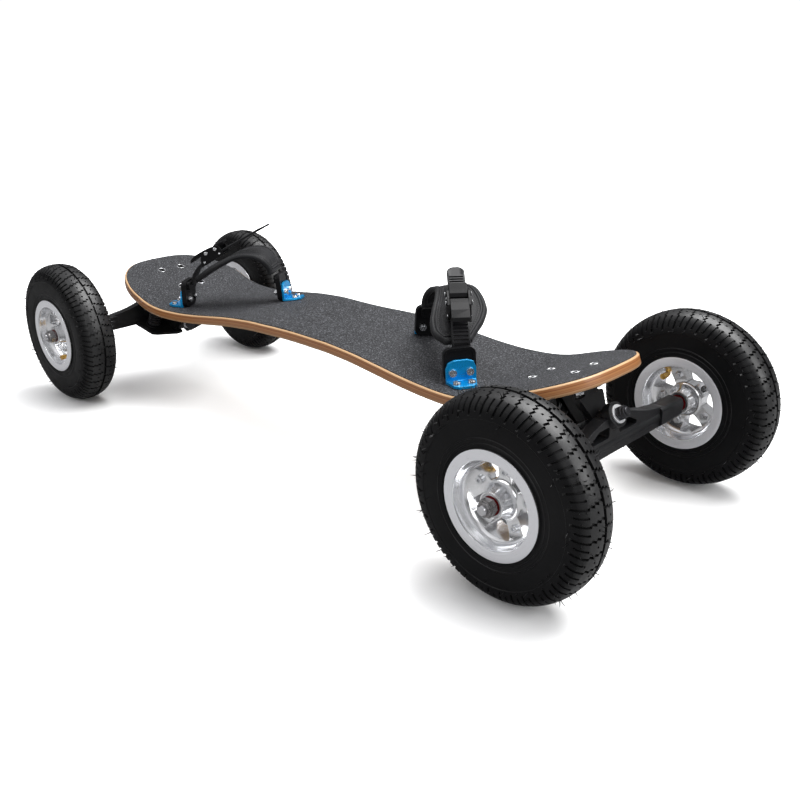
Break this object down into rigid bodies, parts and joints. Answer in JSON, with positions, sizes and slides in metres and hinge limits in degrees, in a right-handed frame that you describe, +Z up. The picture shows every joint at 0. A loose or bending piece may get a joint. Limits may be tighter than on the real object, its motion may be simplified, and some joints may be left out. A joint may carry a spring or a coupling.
{
  "type": "off-road skateboard",
  "caption": "Off-road skateboard with a curved maple deck, sprung leaning trucks, pneumatic tyres and ratchet foot bindings.",
  "frame": {"origin": "on the ground under the middle of the deck", "axes": "+X towards the front truck along the board, +Y to the rider's left, +Z up"},
  "size_m": [1.0114, 0.399, 0.257],
  "materials": {
    "maple_plies": "clear lacquered plywood edge with light and dark plies",
    "grip": "coarse dark grey grit",
    "truck_black": "satin black cast aluminium",
    "blue_anodised": "bright blue anodised",
    "zinc_steel": "bright zinc plated",
    "black_steel": "black oxide",
    "spring_steel": "dark spring steel",
    "bush_rubber": "black urethane",
    "tyre_rubber": "matt black tread rubber",
    "tube_rubber": "butyl rubber with a brass valve",
    "rim_aluminium": "polished bowl and brushed face ring",
    "bearing_steel": "steel rings with dark red shields",
    "black_plastic": "satin moulded nylon",
    "pad_leather": "dark grey synthetic leather with stitched piping"
  },
  "bodies": {
    "board": {"deck": "maple_plies", "grip_tape": "grip", "deck_bolts": "black_steel", "deck_nuts": "zinc_steel", "binding_brackets": "blue_anodised", "bracket_screws": "zinc_steel", "strap_anchors": "black_plastic", "front_base": "truck_black", "front_kingpin": "black_steel", "front_kingpin_nut": "black_steel", "front_kingpin_washers": "zinc_steel", "front_springs": "spring_steel", "front_pad": "pad_leather", "front_ladder_strap": "black_plastic", "front_buckle": "black_plastic", "rear_base": "truck_black", "rear_kingpin": "black_steel", "rear_kingpin_nut": "black_steel", "rear_kingpin_washers": "zinc_steel", "rear_springs": "spring_steel", "rear_pad": "pad_leather", "rear_ladder_strap": "black_plastic", "rear_buckle": "black_plastic"},
    "front_truck": {"front_hanger": "truck_black", "front_axle": "zinc_steel", "front_axle_nuts": "zinc_steel", "front_pivot_bushes": "bush_rubber"},
    "rear_truck": {"rear_hanger": "truck_black", "rear_axle": "zinc_steel", "rear_axle_nuts": "zinc_steel", "rear_pivot_bushes": "bush_rubber"},
    "front_right_wheel": {"front_right_tyre": "tyre_rubber", "front_right_inner_tube": "tube_rubber", "front_right_rim_outer": "rim_aluminium", "front_right_rim_inner": "rim_aluminium", "front_right_rim_bolts": "zinc_steel", "front_right_bearings": "bearing_steel"},
    "front_left_wheel": {"front_left_tyre": "tyre_rubber", "front_left_inner_tube": "tube_rubber", "front_left_rim_outer": "rim_aluminium", "front_left_rim_inner": "rim_aluminium", "front_left_rim_bolts": "zinc_steel", "front_left_bearings": "bearing_steel"},
    "rear_right_wheel": {"rear_right_tyre": "tyre_rubber", "rear_right_inner_tube": "tube_rubber", "rear_right_rim_outer": "rim_aluminium", "rear_right_rim_inner": "rim_aluminium", "rear_right_rim_bolts": "zinc_steel", "rear_right_bearings": "bearing_steel"},
    "rear_left_wheel": {"rear_left_tyre": "tyre_rubber", "rear_left_inner_tube": "tube_rubber", "rear_left_rim_outer": "rim_aluminium", "rear_left_rim_inner": "rim_aluminium", "rear_left_rim_bolts": "zinc_steel", "rear_left_bearings": "bearing_steel"},
    "front_ratchet": {"front_ratchet_lever": "black_plastic"},
    "front_release": {"front_release_lever": "black_plastic"},
    "rear_ratchet": {"rear_ratchet_lever": "black_plastic"},
    "rear_release": {"rear_release_lever": "black_plastic"}
  },
  "joints": [
    {"name": "front_lean", "type": "hinge", "parent": "board", "child": "front_truck", "pos_m": [0.414, 0, 0.131], "axis": [0.866, 0, 0.5], "range_deg": [-15, 15], "stiffness_Nm_per_rad": 60, "deforming": ["front_springs"]},
    {"name": "rear_lean", "type": "hinge", "parent": "board", "child": "rear_truck", "pos_m": [-0.414, 0, 0.131], "axis": [-0.866, 0, 0.5], "range_deg": [-15, 15], "stiffness_Nm_per_rad": 60, "deforming": ["rear_springs"]},
    {"name": "front_right_spin", "type": "hinge", "parent": "front_truck", "child": "front_right_wheel", "pos_m": [0.4057, -0.162, 0.1], "axis": [0, 1, 0], "continuous": true},
    {"name": "front_left_spin", "type": "hinge", "parent": "front_truck", "child": "front_left_wheel", "pos_m": [0.4057, 0.162, 0.1], "axis": [0, 1, 0], "continuous": true},
    {"name": "rear_right_spin", "type": "hinge", "parent": "rear_truck", "child": "rear_right_wheel", "pos_m": [-0.4057, -0.162, 0.1], "axis": [0, 1, 0], "continuous": true},
    {"name": "rear_left_spin", "type": "hinge", "parent": "rear_truck", "child": "rear_left_wheel", "pos_m": [-0.4057, 0.162, 0.1], "axis": [0, 1, 0], "continuous": true},
    {"name": "front_ratchet_pivot", "type": "hinge", "parent": "board", "child": "front_ratchet", "pos_m": [0.22909, -0.0227, 0.21795], "axis": [-0.706, -0.7082, 0], "range_deg": [0, 75]},
    {"name": "front_release_pivot", "type": "hinge", "parent": "board", "child": "front_release", "pos_m": [0.2194, -0.01304, 0.22426], "axis": [0.706, 0.7082, 0], "range_deg": [0, 20]},
    {"name": "rear_ratchet_pivot", "type": "hinge", "parent": "board", "child": "rear_ratchet", "pos_m": [-0.22602, -0.02643, 0.21795], "axis": [-0.5579, 0.8299, 0], "range_deg": [0, 75]},
    {"name": "rear_release_pivot", "type": "hinge", "parent": "board", "child": "rear_release", "pos_m": [-0.21467, -0.01879, 0.22426], "axis": [0.5579, -0.8299, 0], "range_deg": [0, 20]}
  ]
}
